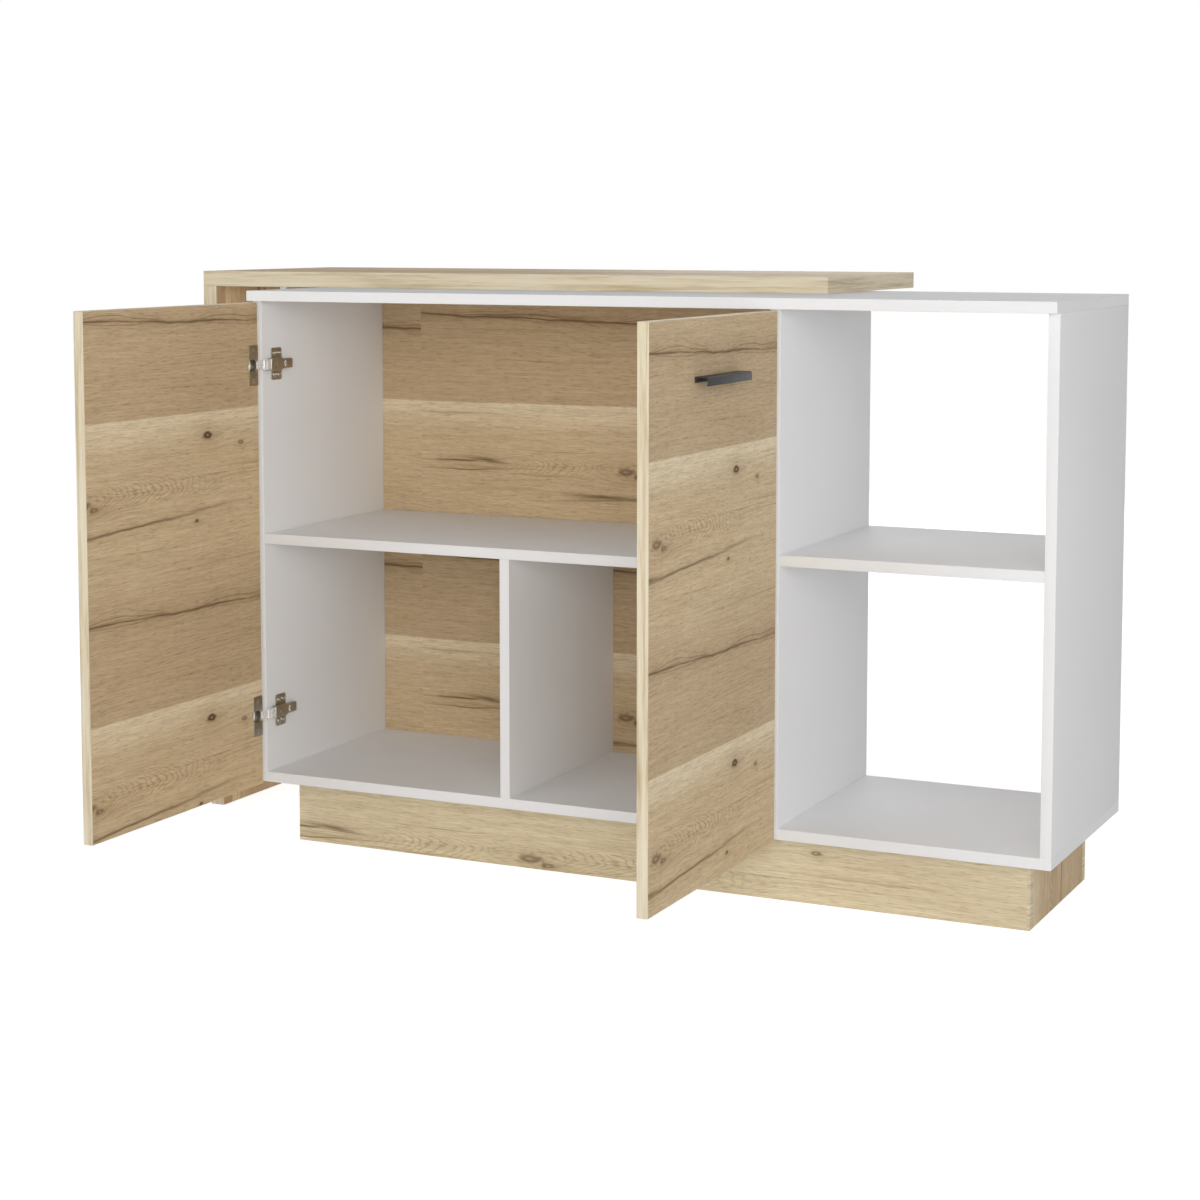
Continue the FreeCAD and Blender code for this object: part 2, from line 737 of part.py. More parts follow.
BOARDS = {
    "bottom_board": (
        ("cabinet_width", "side_depth", "board"),
        (LEFT, FRONT, "plinth_height"),
    ),
    "top_board": (
        ("cabinet_width", "side_depth + door_gap + board", "board"),
        (LEFT, f"({FRONT} - door_gap - board)", CEILING),
    ),
    "left_side": (("board", "side_depth", "side_height"), (LEFT, FRONT, DECK)),
    "right_side": (("board", "side_depth", "side_height"), (RIGHT_INNER, FRONT, DECK)),
    "divider": (("board", "side_depth", "side_height"), (DIVIDER_LEFT, FRONT, DECK)),
    "partition": (
        ("board", "side_depth - board", "lower_height"),
        (f"({CUPBOARD_MIDDLE} - board / 2)", FRONT, DECK),
    ),
    "cupboard_shelf": ((CUPBOARD_WIDTH, "side_depth", "board"), (LEFT_INNER, FRONT, SHELF)),
    "open_shelf": (("niche_width", "side_depth", "board"), (DIVIDER_RIGHT, FRONT, SHELF_TOP)),
    "upper_back": ((CUPBOARD_WIDTH, "board", UPPER_HEIGHT), (LEFT_INNER, BACK, SHELF_TOP)),
    "lower_back": ((CUPBOARD_WIDTH, "board", "lower_height"), (LEFT_INNER, BACK, DECK)),
    "plinth_front": (
        (PLINTH_LENGTH, "board", "plinth_height"),
        (PLINTH_LEFT, PLINTH_FRONT, "0"),
    ),
    "plinth_rear": (
        (PLINTH_LENGTH, "board", "plinth_height"),
        (PLINTH_LEFT, f"({PLINTH_REAR} - board)", "0"),
    ),
    "plinth_left": (
        ("board", PLINTH_INSIDE, "plinth_height"),
        (PLINTH_LEFT, f"({PLINTH_FRONT} + board)", "0"),
    ),
    "plinth_right": (
        ("board", PLINTH_INSIDE, "plinth_height"),
        (f"({PLINTH_RIGHT} - board)", f"({PLINTH_FRONT} + board)", "0"),
    ),
    "plinth_stretcher": (
        ("board", PLINTH_INSIDE, "plinth_height"),
        ("(-board / 2)", f"({PLINTH_FRONT} + board)", "0"),
    ),
}

JOINERY = (
    dowels,
    screws,
    plinth_dowels,
    plinth_screws,
    bar_screws,
    bar_dowels,
    bar_bracket_screws,
    hinge_screws,
)


def holes_in(board):
    return [hole for joinery in JOINERY for hole in joinery.holes.get(board, [])]


for label, (size, at) in BOARDS.items():
    node(label, without(eased(block(size, at)), holes_in(label)))

# The bar: a top and a leg, each with light edging on the edges that show

bar_size = ("bar_length", "bar_depth", "bar_board")
bar_core_size = ("bar_length - 2 * edging", "bar_depth - 2 * edging", "bar_board")
bar_core_at = (f"({BAR_LEFT} + edging)", f"({BAR_FRONT} + edging)", WORKTOP)
bar_opening = block(
    (bar_core_size[0], bar_core_size[1], "bar_board + 2 * overrun"),
    (bar_core_at[0], bar_core_at[1], f"({WORKTOP} - overrun)"),
)
node("bar_top", without(block(bar_core_size, bar_core_at), holes_in("bar_top")))
node("bar_top_edging", without(eased(block(bar_size, (BAR_LEFT, BAR_FRONT, WORKTOP))), [bar_opening]))

leg_core_at = (BAR_LEFT, f"({BAR_FRONT} + edging)", "0")
leg_core = block(("bar_board", "bar_depth - 2 * edging", WORKTOP), leg_core_at)
leg_opening = block(
    ("bar_board + 2 * overrun", "bar_depth - 2 * edging", f"{WORKTOP} + 2 * overrun"),
    (f"({BAR_LEFT} - overrun)", leg_core_at[1], "(-overrun)"),
)
leg_outline = eased(block(("bar_board", "bar_depth", WORKTOP), (BAR_LEFT, BAR_FRONT, "0")))
node("bar_leg", without(leg_core, holes_in("bar_leg")))
node("bar_leg_edging", without(leg_outline, [leg_opening]))

# Fastenings, each kind one group of separate solids

node("carcass_dowels", grouped(dowels.pieces))
node("carcass_screws", grouped(screws.pieces))
node("plinth_dowels", grouped(plinth_dowels.pieces))
node("plinth_brackets", grouped(plinth_brackets))
node("plinth_screws", grouped(plinth_screws.pieces))
node("bar_screws", grouped(bar_screws.pieces))
node("bar_dowels", grouped(bar_dowels.pieces))
node("bar_brackets", grouped(bar_brackets))
node("bar_bracket_screws", grouped(bar_bracket_screws.pieces))
node("hinge_plate_screws", grouped(hinge_screws.pieces))
node("hinge_arm_screws", grouped(arm_screws.pieces))
node("hinge_pins", grouped(hinge_pins))

doc.recompute()

for item in doc.Objects:
    if "Invalid" in item.State or "Error" in item.State:
        raise RuntimeError(f"{item.Name} ({item.Label}) failed to build")
for item in nodes:
    if item.Shape.isNull() or not item.Shape.isValid() or not item.Shape.Solids:
        raise RuntimeError(f"{item.Label} has no valid shape")

os.makedirs("parts", exist_ok=True)
for item in nodes:
    item.Shape.exportStep(f"parts/{item.Label}.step")
    print(item.Label, len(item.Shape.Solids), round(item.Shape.Volume, 1))
print(len(nodes), "nodes")
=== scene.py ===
"""Looks of a kitchen island: a white cabinet on an oak plinth, two oak doors and an oak breakfast bar.

Metres, +Z up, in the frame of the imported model. The cabinet's front faces -Y.
"""

import math

import bmesh
import bpy
from mathutils import Matrix, Vector


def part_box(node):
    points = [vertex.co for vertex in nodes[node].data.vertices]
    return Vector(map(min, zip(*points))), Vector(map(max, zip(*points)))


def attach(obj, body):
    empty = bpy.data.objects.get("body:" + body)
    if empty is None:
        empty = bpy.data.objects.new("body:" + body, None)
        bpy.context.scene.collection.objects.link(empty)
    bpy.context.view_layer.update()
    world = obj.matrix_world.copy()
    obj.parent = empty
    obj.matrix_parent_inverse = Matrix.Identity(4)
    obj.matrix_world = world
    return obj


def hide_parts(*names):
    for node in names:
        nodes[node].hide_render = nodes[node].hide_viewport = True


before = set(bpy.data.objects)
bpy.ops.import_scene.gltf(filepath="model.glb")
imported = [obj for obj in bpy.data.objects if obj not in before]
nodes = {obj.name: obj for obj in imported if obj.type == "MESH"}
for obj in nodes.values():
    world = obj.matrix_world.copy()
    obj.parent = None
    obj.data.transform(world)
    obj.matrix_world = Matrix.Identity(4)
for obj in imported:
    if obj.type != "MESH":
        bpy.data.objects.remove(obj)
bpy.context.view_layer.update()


def colour(red, green, blue):
    """A linear colour from the 0-255 values that a picture shows."""
    levels = [value / 255 for value in (red, green, blue)]
    linear = [v / 12.92 if v <= 0.04045 else ((v + 0.055) / 1.055) ** 2.4 for v in levels]
    return (*linear, 1.0)


class Graph:
    """Adds nodes to a tree and joins them: a value given to an input is a number or another socket."""

    def __init__(self, tree):
        self.tree = tree

    def add(self, kind, inputs=None, **settings):
        item = self.tree.nodes.new(kind)
        for name, value in settings.items():
            setattr(item, name, value)
        for name, value in (inputs or {}).items():
            self.join(value, item.inputs[name])
        return item

    def join(self, value, socket):
        if isinstance(value, bpy.types.NodeSocket):
            self.tree.links.new(value, socket)
        else:
            socket.default_value = value

    def math(self, operation, *values):
        item = self.add("ShaderNodeMath", operation=operation)
        for value, socket in zip(values, item.inputs):
            self.join(value, socket)
        return item.outputs[0]

    def vector(self, x, y, z=0.0):
        return self.add("ShaderNodeCombineXYZ", {"X": x, "Y": y, "Z": z}).outputs[0]

    def split(self, vector):
        return self.add("ShaderNodeSeparateXYZ", {"Vector": vector}).outputs

    def object_place(self):
        return self.add("ShaderNodeTexCoord").outputs["Object"]

    def noise(self, vector, detail=2.0, roughness=0.5):
        inputs = {"Vector": vector, "Scale": 1.0, "Detail": detail, "Roughness": roughness}
        return self.add("ShaderNodeTexNoise", inputs).outputs["Fac"]

    def grain_noise(self, along, across, look):
        """Noise drawn out along the grain. Its look: scale along, scale across, detail, roughness."""
        scale_along, scale_across, detail, roughness = look
        stretched = self.vector(
            self.math("MULTIPLY", along, scale_along), self.math("MULTIPLY", across, scale_across)
        )
        return self.noise(stretched, detail, roughness)

    def line_noise(self, along, look):
        """Noise that only changes along the grain. Its look: scale, row of the noise, detail."""
        scale, row, detail = look
        return self.noise(self.vector(self.math("MULTIPLY", along, scale), row), detail)

    def even_noise(self, scale, detail=2.0, roughness=0.5):
        """Noise of the same size in every direction of the object."""
        inputs = {0: self.object_place(), "Scale": scale}
        scaled = self.add("ShaderNodeVectorMath", inputs, operation="SCALE").outputs[0]
        return self.noise(scaled, detail, roughness)

    def fade(self, value, start, end, low=0.0, high=1.0):
        """Goes smoothly from low to high as the value goes from start to end."""
        inputs = {"Value": value, "From Min": start, "From Max": end, "To Min": low, "To Max": high}
        return self.add("ShaderNodeMapRange", inputs, interpolation_type="SMOOTHSTEP").outputs[0]

    def bell(self, *distances):
        """1 at the middle, falling to nothing a little more than one distance away."""
        total = 0.0
        for distance in distances:
            total = self.math("MULTIPLY_ADD", distance, distance, total)
        return self.math("EXPONENT", self.math("MULTIPLY", total, -1.0))

    def blend(self, share, first, second, mode="MIX"):
        item = self.add("ShaderNodeMix", data_type="RGBA", blend_type=mode)
        for value, index in ((share, 0), (first, 6), (second, 7)):
            self.join(value, item.inputs[index])
        return item.outputs[2]

    def ramp(self, value, stops):
        item = self.add("ShaderNodeValToRGB", {"Fac": value})
        elements = item.color_ramp.elements
        while len(elements) < len(stops):
            elements.new(1.0)
        for element, (position, shade) in zip(elements, stops):
            element.position = position
            element.color = shade
        return item.outputs["Color"]


def new_material(name):
    material = bpy.data.materials.new(name)
    material.use_nodes = True
    graph = Graph(material.node_tree)
    shader = material.node_tree.nodes["Principled BSDF"]
    return material, graph, shader


def bump(graph, shader, height, strength, distance):
    inputs = {"Height": height, "Strength": strength, "Distance": distance}
    graph.join(graph.add("ShaderNodeBump", inputs).outputs[0], shader.inputs["Normal"])


# Oak decor: printed planks that repeat across the grain

TILE = 0.430
TILE_LENGTH = 1.10
TILE_START = -0.450
PLANK_JOINT = 0.160
BROWN_PLANK = colour(188, 163, 130)
PALE_EDGE = colour(219, 201, 170)
HONEY_PLANK = colour(201, 177, 142)
OAK_TONES = (
    (0.012, BROWN_PLANK),
    (0.1585, BROWN_PLANK),
    (0.1605, PALE_EDGE),
    (0.212, HONEY_PLANK),
    (0.345, HONEY_PLANK),
    (0.442, BROWN_PLANK),
)
CRACK_TONE = colour(92, 66, 38)
CRACK_STRENGTH = 0.76
KNOT_TONE = colour(72, 48, 28)
KNOT_STRENGTH = 0.9

# Each knot: place along and across the grain, half length, half width, darkness
KNOTS = (
    (0.298, 0.195, 0.011, 0.0056, 1.00),
    (0.385, 0.212, 0.007, 0.0034, 0.60),
    (-0.008, 0.272, 0.016, 0.0065, 0.60),
    (0.018, 0.280, 0.010, 0.0040, 0.55),
    (0.267, 0.321, 0.0045, 0.0024, 0.90),
)
KNOT_REACH = 3.2
KNOT_PULL = -0.7
KNOT_RING = 0.58
KNOT_RING_WIDTH = 0.44

# The long crack that follows each repeat: slope, place across, bend, and its least and most half width
SEAM_SLOPE = 0.026
SEAM_PLACE = 0.0085
SEAM_BEND = 0.014
SEAM_WIDTH = (0.0006, 0.0031)
SEAM_SHADE_WIDTH = 0.011
SEAM_SHADE = 0.6
# Each fine line that leaves the long crack and joins it again: spread, half width, strength
FORKS = ((0.050, 0.0010, 0.55), (-0.034, 0.0008, 0.45), (0.115, 0.0007, 0.30))
FORK_START = 0.42

# Each short crack: its two ends along the grain, its place across at the first end, slope, half width
CRACKS = (
    (-0.150, 0.340, 0.3280, -0.052, 0.0030),
    (-0.440, -0.285, 0.2660, -0.045, 0.0026),
    (-0.350, -0.262, 0.2560, 0.110, 0.0044),
    (-0.430, -0.250, 0.2800, -0.020, 0.0016),
    (-0.130, 0.030, 0.3160, 0.020, 0.0050),
)
CRACK_BEND = 0.012
CRACK_ENDS = 0.42
CRACK_SHADE_WIDTH = 5
CRACK_SHADE = 0.4

# Each swirl of arched grain: middle along and across, half length, half width
SWIRLS = ((0.165, 0.264, 0.150, 0.032), (-0.150, 0.269, 0.085, 0.026))
BOW = 105.0
BOW_SPACING = 0.0150
BOW_RIPPLE = 0.045

# Looks of the noise along and across the grain, and along a crack
WANDER = (3.0, 9.0, 2.0, 0.5)
WANDER_WIDTH = 0.016
JOINT_WANDER = 0.003
TATTER = (75.0, 170.0, 3.0, 0.5)
STREAKS = (5.0, 110.0, 6.0, 0.66)
FINE_GRAIN = (24.0, 380.0, 4.0, 0.7)
PORES = (55.0, 620.0, 1.0, 0.5)
THIN_LINES = (1.7, 170.0, 2.0, 0.5)
RIPPLE = (22.0, 70.0, 2.0, 0.5)
PATCHES = (2.2, 20.0, 2.0, 0.5)
BEND = (7.0, 0.0, 3.0)
THICKNESS = (6.0, 4.0, 4.0)
PARTING = (3.4, 9.0, 1.0)

# How far each mark lightens or darkens the tone, and how red and blue follow it
TONE_MIDDLE = 1.07
STREAK_TONE = 0.62
FINE_TONE = 0.85
PATCH_TONE = 0.22
PORE_TONE = -0.22
LINE_TONE = -0.20
RING_TONE = -0.24
SHADE_TONE = -0.22
RED_POWER = 0.82
BLUE_POWER = 1.2


def oak_decor():
    """Group from a place (along the grain, across it) to the decor's colour, roughness and height."""
    tree = bpy.data.node_groups.new("oak_decor", "ShaderNodeTree")
    tree.interface.new_socket("Place", in_out="INPUT", socket_type="NodeSocketVector")
    for name, kind in (("Color", "Color"), ("Roughness", "Float"), ("Height", "Float")):
        tree.interface.new_socket(name, in_out="OUTPUT", socket_type=f"NodeSocket{kind}")
    graph = Graph(tree)
    math_ = graph.math
    place = graph.split(graph.add("NodeGroupInput").outputs["Place"])
    along = math_("WRAP", place["X"], TILE_START + TILE_LENGTH, TILE_START)
    down = place["Y"]
    first = OAK_TONES[0][0]
    across = math_("WRAP", down, first + TILE, first)

    # The grain wanders, and goes round the knots
    wander = graph.grain_noise(along, across, WANDER)
    grain = math_("MULTIPLY_ADD", wander, WANDER_WIDTH, across)
    tatter = graph.grain_noise(along, across, TATTER)
    ragged = math_("MULTIPLY_ADD", tatter, 1.1, 0.45)
    dark = 0.0
    shade = 0.0
    for knot_along, knot_across, length, width, darkness in KNOTS:
        off_along = math_("SUBTRACT", along, knot_along)
        off_across = math_("SUBTRACT", across, knot_across)
        near = graph.bell(
            math_("DIVIDE", off_along, length * KNOT_REACH), math_("DIVIDE", off_across, width * KNOT_REACH)
        )
        pull = math_("MULTIPLY", math_("MULTIPLY", near, off_across), KNOT_PULL)
        grain = math_("ADD", grain, pull)
        shade = math_("MULTIPLY_ADD", near, darkness, shade)
        out_along = math_("DIVIDE", off_along, length)
        out_across = math_("DIVIDE", off_across, width)
        squares = math_("MULTIPLY_ADD", out_along, out_along, math_("MULTIPLY", out_across, out_across))
        radius = math_("DIVIDE", math_("SQRT", squares), ragged)
        ring = graph.bell(math_("DIVIDE", math_("SUBTRACT", radius, KNOT_RING), KNOT_RING_WIDTH))
        dark = math_("MULTIPLY_ADD", ring, darkness, dark)

    # Streaks, pores and arched rings drawn out along the grain
    streaks = graph.grain_noise(along, grain, STREAKS)
    fine = graph.grain_noise(along, grain, FINE_GRAIN)
    pores = graph.fade(graph.grain_noise(along, grain, PORES), 0.54, 0.70)
    thin_lines = graph.fade(graph.grain_noise(along, grain, THIN_LINES), 0.60, 0.74)
    ripple = graph.grain_noise(along, across, RIPPLE)
    rings = 0.0
    for middle_along, middle_across, length, width in SWIRLS:
        off_along = math_("SUBTRACT", along, middle_along)
        off_across = math_("SUBTRACT", across, middle_across)
        inside = graph.bell(math_("DIVIDE", off_along, length), math_("DIVIDE", off_across, width))
        bowed = math_("MULTIPLY", math_("MULTIPLY", off_across, off_across), BOW)
        phase = math_("MULTIPLY_ADD", ripple, BOW_RIPPLE, math_("ADD", off_along, bowed))
        line = math_("SINE", math_("MULTIPLY", phase, 2 * math.pi / BOW_SPACING))
        rings = math_("MULTIPLY_ADD", graph.fade(line, 0.0, 1.0), inside, rings)

    # Dark cracks: one that follows each repeat of the decor, and shorter ones inside it
    bend = graph.line_noise(along, BEND)
    thick = graph.line_noise(along, THICKNESS)
    parting = graph.line_noise(along, PARTING)
    straight = math_("MULTIPLY_ADD", along, SEAM_SLOPE, SEAM_PLACE)
    seam = math_("MULTIPLY_ADD", bend, SEAM_BEND, straight)
    from_seam = math_("WRAP", math_("SUBTRACT", down, seam), TILE / 2, -TILE / 2)
    width = graph.fade(thick, 0.32, 0.70, *SEAM_WIDTH)
    faint = graph.fade(thick, 0.25, 0.5, 0.55, 1.0)
    crack = math_("MULTIPLY", graph.bell(math_("DIVIDE", from_seam, width)), faint)
    for spread, half_width, strength in FORKS:
        fork = math_("MULTIPLY_ADD", math_("SUBTRACT", parting, FORK_START), spread, from_seam)
        mark = math_("MULTIPLY", graph.bell(math_("DIVIDE", fork, half_width)), strength)
        crack = math_("MAXIMUM", crack, mark)
    beside = graph.bell(math_("DIVIDE", from_seam, SEAM_SHADE_WIDTH))
    shade = math_("MULTIPLY_ADD", beside, SEAM_SHADE, shade)
    for start, end, at, slope, half_width in CRACKS:
        bent = math_("MULTIPLY_ADD", bend, CRACK_BEND, at)
        line = math_("MULTIPLY_ADD", math_("SUBTRACT", along, start), slope, bent)
        away = math_("SUBTRACT", across, math_("SUBTRACT", line, CRACK_BEND / 2))
        from_middle = math_("SUBTRACT", along, (start + end) / 2)
        ends = graph.bell(math_("DIVIDE", from_middle, (end - start) * CRACK_ENDS))
        width = math_("MULTIPLY", graph.fade(thick, 0.25, 0.75, 0.4, 1.0), half_width)
        mark = math_("MULTIPLY", graph.bell(math_("DIVIDE", away, width)), ends)
        crack = math_("MAXIMUM", crack, mark)
        beside = math_("MULTIPLY", graph.bell(math_("DIVIDE", away, half_width * CRACK_SHADE_WIDTH)), ends)
        shade = math_("MULTIPLY_ADD", beside, CRACK_SHADE, shade)

    # Colour
    tone_place = math_("MULTIPLY_ADD", math_("SUBTRACT", wander, 0.5), JOINT_WANDER, across)
    stops = [(position / (first + TILE), tone) for position, tone in OAK_TONES]
    planks = graph.ramp(math_("DIVIDE", tone_place, first + TILE), stops)
    patches = graph.grain_noise(along, across, PATCHES)
    tone = TONE_MIDDLE
    for mark, share in ((streaks, STREAK_TONE), (fine, FINE_TONE), (patches, PATCH_TONE)):
        tone = math_("MULTIPLY_ADD", math_("SUBTRACT", mark, 0.5), share, tone)
    darker = ((pores, PORE_TONE), (thin_lines, LINE_TONE), (rings, RING_TONE), (shade, SHADE_TONE))
    for mark, share in darker:
        tone = math_("MULTIPLY_ADD", mark, share, tone)
    warm = graph.vector(math_("POWER", tone, RED_POWER), tone, math_("POWER", tone, BLUE_POWER))
    grained = graph.blend(1.0, planks, warm, "MULTIPLY")
    cracked = graph.blend(math_("MULTIPLY", crack, CRACK_STRENGTH), grained, CRACK_TONE)
    knotted = graph.blend(math_("MINIMUM", dark, KNOT_STRENGTH), cracked, KNOT_TONE)
    height = math_("MULTIPLY_ADD", crack, -0.8, math_("MULTIPLY_ADD", pores, -0.35, fine))
    outputs = {
        "Color": knotted,
        "Roughness": graph.fade(fine, 0.2, 0.8, 0.62, 0.46),
        "Height": height,
    }
    graph.add("NodeGroupOutput", outputs)
    return tree


oak_group = oak_decor()


def oak(name, axes, corner, level, scale=(1.0, 1.0)):
    """Oak on one board.

    The axes name the directions along and down the decor, the corner is where the frame's origin
    falls on it, and the level multiplies its red, green and blue: partly the board's own tone and
    partly painted light, lifting boards that the lamps leave in shade.
    """
    material, graph, shader = new_material(name)
    place = graph.split(graph.object_place())
    turned = []
    for axis in axes:
        value = place[axis[-1].upper()]
        turned.append(graph.math("MULTIPLY", value, -1.0) if axis.startswith("-") else value)
    mapping = graph.add("ShaderNodeMapping", {"Vector": graph.vector(*turned)})
    mapping.inputs["Location"].default_value = (*corner, 0.0)
    mapping.inputs["Scale"].default_value = (*scale, 1.0)
    decor = graph.add("ShaderNodeGroup", node_tree=oak_group)
    graph.join(mapping.outputs[0], decor.inputs["Place"])
    # The level multiplies the decor's colour: the board's own tone plus painted light that stands in for
    # the lamps' light on this board.
    tone_and_painted_light = graph.blend(1.0, decor.outputs["Color"], (*level, 1.0), "MULTIPLY")
    graph.join(tone_and_painted_light, shader.inputs["Base Color"])
    graph.join(decor.outputs["Roughness"], shader.inputs["Roughness"])
    shader.inputs["Specular IOR Level"].default_value = 0.08
    bump(graph, shader, decor.outputs["Height"], 0.25, 0.0004)
    return material


EDGE_BANDS = (5.0, 130.0, 4.0, 0.6)
EDGE_LINES = (22.0, 700.0, 2.0, 0.5)
EDGE_TONES = ((0.28, colour(196, 176, 140)), (0.5, colour(229, 215, 186)), (0.75, colour(240, 230, 207)))


def oak_edge(name, along_axes, across_axis):
    """Light oak edging: streaks that run round a board's edges."""
    material, graph, shader = new_material(name)
    place = graph.split(graph.object_place())
    along = graph.math("ADD", place[along_axes[0]], place[along_axes[1]])
    across = place[across_axis]
    bands = graph.grain_noise(along, across, EDGE_BANDS)
    lines = graph.grain_noise(along, across, EDGE_LINES)
    tone = graph.math("MULTIPLY_ADD", graph.math("SUBTRACT", lines, 0.5), 0.3, bands)
    graph.join(graph.ramp(tone, EDGE_TONES), shader.inputs["Base Color"])
    graph.join(graph.fade(lines, 0.2, 0.8, 0.6, 0.45), shader.inputs["Roughness"])
    shader.inputs["Specular IOR Level"].default_value = 0.2
    bump(graph, shader, lines, 0.15, 0.0003)
    return material


def white_board():
    """White melamine: a faint pearl grain, with hardly any change of tone."""
    material, graph, shader = new_material("white_board")
    pearl = graph.even_noise(900.0)
    cloud = graph.even_noise(6.0)
    whites = ((0.3, colour(247, 247, 248)), (0.7, colour(250, 250, 251)))
    graph.join(graph.ramp(cloud, whites), shader.inputs["Base Color"])
    graph.join(graph.fade(pearl, 0.3, 0.7, 0.55, 0.65), shader.inputs["Roughness"])
    shader.inputs["Specular IOR Level"].default_value = 0.02
    bump(graph, shader, pearl, 0.12, 0.0002)
    return material


def metal(name, dark, light, roughness, metallic=1.0):
    """Brushed or coated metal with a slightly uneven tone."""
    material, graph, shader = new_material(name)
    mottle = graph.even_noise(260.0, 4.0, 0.6)
    graph.join(graph.ramp(mottle, ((0.3, dark), (0.7, light))), shader.inputs["Base Color"])
    uneven = graph.fade(mottle, 0.25, 0.75, roughness * 0.85, roughness * 1.15)
    graph.join(uneven, shader.inputs["Roughness"])
    shader.inputs["Metallic"].default_value = metallic
    bump(graph, shader, mottle, 0.08, 0.0002)
    return material


def dowel_beech():
    """Plain beech with short flecks."""
    material, graph, shader = new_material("beech_dowel")
    flecks = graph.even_noise(300.0, 3.0)
    tones = ((0.35, colour(196, 158, 118)), (0.65, colour(219, 186, 148)))
    graph.join(graph.ramp(flecks, tones), shader.inputs["Base Color"])
    graph.join(graph.fade(flecks, 0.3, 0.7, 0.55, 0.7), shader.inputs["Roughness"])
    return material


# Finishes of the nodes

door_low, door_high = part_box("left_door_edging")
back_low, back_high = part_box("upper_back")

# The decor lies larger on the left door than on the right door and the backs
SMALL_DECOR = (1 / 0.856, 1 / 0.935)
PLINTH_DECOR = (0.85, 1.0)
RIGHT_DOOR_SHIFT = (-0.0374, -0.0282)
BACK_KNOT = 0.460
BACK_JOINT_DROP = 0.176
LEFT_DOOR_CORNER = (-door_low.y, door_high.z)
RIGHT_DOOR_CORNER = (
    RIGHT_DOOR_SHIFT[0] - door_low.y * SMALL_DECOR[0],
    RIGHT_DOOR_SHIFT[1] + door_high.z * SMALL_DECOR[1],
)
BACK_CORNER = (
    -(back_low.x + BACK_KNOT) * SMALL_DECOR[0],
    (back_high.z - BACK_JOINT_DROP) * SMALL_DECOR[1] + PLANK_JOINT,
)
BAR_TOP_CORNER = (0.42, 0.60)
BAR_LEG_CORNER = (0.55, 0.13)
PLINTH_FRONT_CORNER = (0.1475, 0.287)
PLINTH_SIDE_CORNER = (0.10, 0.29)

# Each oak's level is partly the board's own tone and partly painted light: set per board, it lifts boards
# left in shade, such as the recessed plinth and the backs inside the cupboards.
finishes = {
    "left_door": oak("oak_left_door", ("y", "-z"), LEFT_DOOR_CORNER, (1.25, 1.26, 1.26)),
    "right_door": oak("oak_right_door", ("y", "-z"), RIGHT_DOOR_CORNER, (1.18, 1.20, 1.21), SMALL_DECOR),
    "back": oak("oak_back", ("x", "-z"), BACK_CORNER, (1.10, 1.10, 1.09), SMALL_DECOR),
    "bar_top": oak("oak_bar_top", ("x", "-y"), BAR_TOP_CORNER, (1.15, 1.16, 1.17)),
    "bar_leg": oak("oak_bar_leg", ("-z", "y"), BAR_LEG_CORNER, (1.30, 1.24, 1.15)),
    "plinth_front": oak(
        "oak_plinth_front", ("x", "-z"), PLINTH_FRONT_CORNER, (1.23, 1.37, 1.50), PLINTH_DECOR
    ),
    "plinth_side": oak("oak_plinth_side", ("-z", "y"), PLINTH_SIDE_CORNER, (1.06, 1.06, 1.04)),
    "door_edge": oak_edge("oak_door_edge", "YZ", "X"),
    "bar_edge": oak_edge("oak_bar_edge", "XY", "Z"),
    "leg_edge": oak_edge("oak_leg_edge", "YZ", "X"),
    "white": white_board(),
    "nickel": metal("nickel_steel", colour(170, 164, 152), colour(192, 186, 175), 0.36),
    # The bright finish is steel painted near white with little metal: a painted reflection of white
    # surroundings in polished steel. The link, the arm's neck and the slot washer wear it.
    "bright": metal("link_painted_reflection", colour(246, 246, 246), colour(252, 252, 252), 0.28, 0.25),
    "graphite": metal("graphite_metal", colour(40, 40, 42), colour(48, 48, 50), 0.48, 0.0),
    "zinc": metal("zinc_screw", colour(196, 196, 192), colour(214, 214, 210), 0.3),
    "beech": dowel_beech(),
}

NODE_FINISH = {
    "left_door_panel": "left_door",
    "right_door_panel": "right_door",
    "upper_back": "back",
    "lower_back": "back",
    "bar_top": "bar_top",
    "bar_leg": "bar_leg",
    "plinth_front": "plinth_front",
    "plinth_rear": "plinth_front",
    "plinth_left": "plinth_side",
    "plinth_right": "plinth_side",
    "plinth_stretcher": "plinth_side",
    "bar_top_edging": "bar_edge",
    "bar_leg_edging": "leg_edge",
}
ENDING_FINISH = (
    ("_door_edging", "door_edge"),
    ("_door_handle", "graphite"),
    ("_handle_screws", "graphite"),
    # The links wear the bright finish: a painted reflection on steel.
    ("_hinge_link", "bright"),
    ("_hinge_plate", "nickel"),
    ("_hinge_arm", "nickel"),
    ("_hinge_cup", "nickel"),
    ("hinge_pins", "nickel"),
    ("_dowels", "beech"),
    ("_brackets", "zinc"),
    ("_screws", "zinc"),
)


def finish_of(name):
    """The finish that a node's name stands for. A board that isn't named is white."""
    if name in NODE_FINISH:
        return NODE_FINISH[name]
    for ending, finish in ENDING_FINISH:
        if name.endswith(ending):
            return finish
    return "white"


for name, item in nodes.items():
    item.data.materials.clear()
    item.data.materials.append(finishes[finish_of(name)])


# Hinges and handles, in millimetres from the board or door that carries them

MM = 0.001
SAME_PLACE = 0.001
MERGE_DISTANCE = 0.000002
SMOOTH_ANGLE = math.radians(32)
SHARP_ANGLE = math.radians(40)
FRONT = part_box("left_side")[0].y
HINGE_FACE = {"left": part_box("left_side")[1].x, "right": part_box("divider")[0].x}
HANDLE_FACE = {"left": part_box("left_door_handle")[1].x, "right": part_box("right_door_handle")[0].x}
HANDLE_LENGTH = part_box("left_door_handle")[1].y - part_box("left_door_handle")[0].y
INTO_CUPBOARD = {"left": 1, "right": -1}

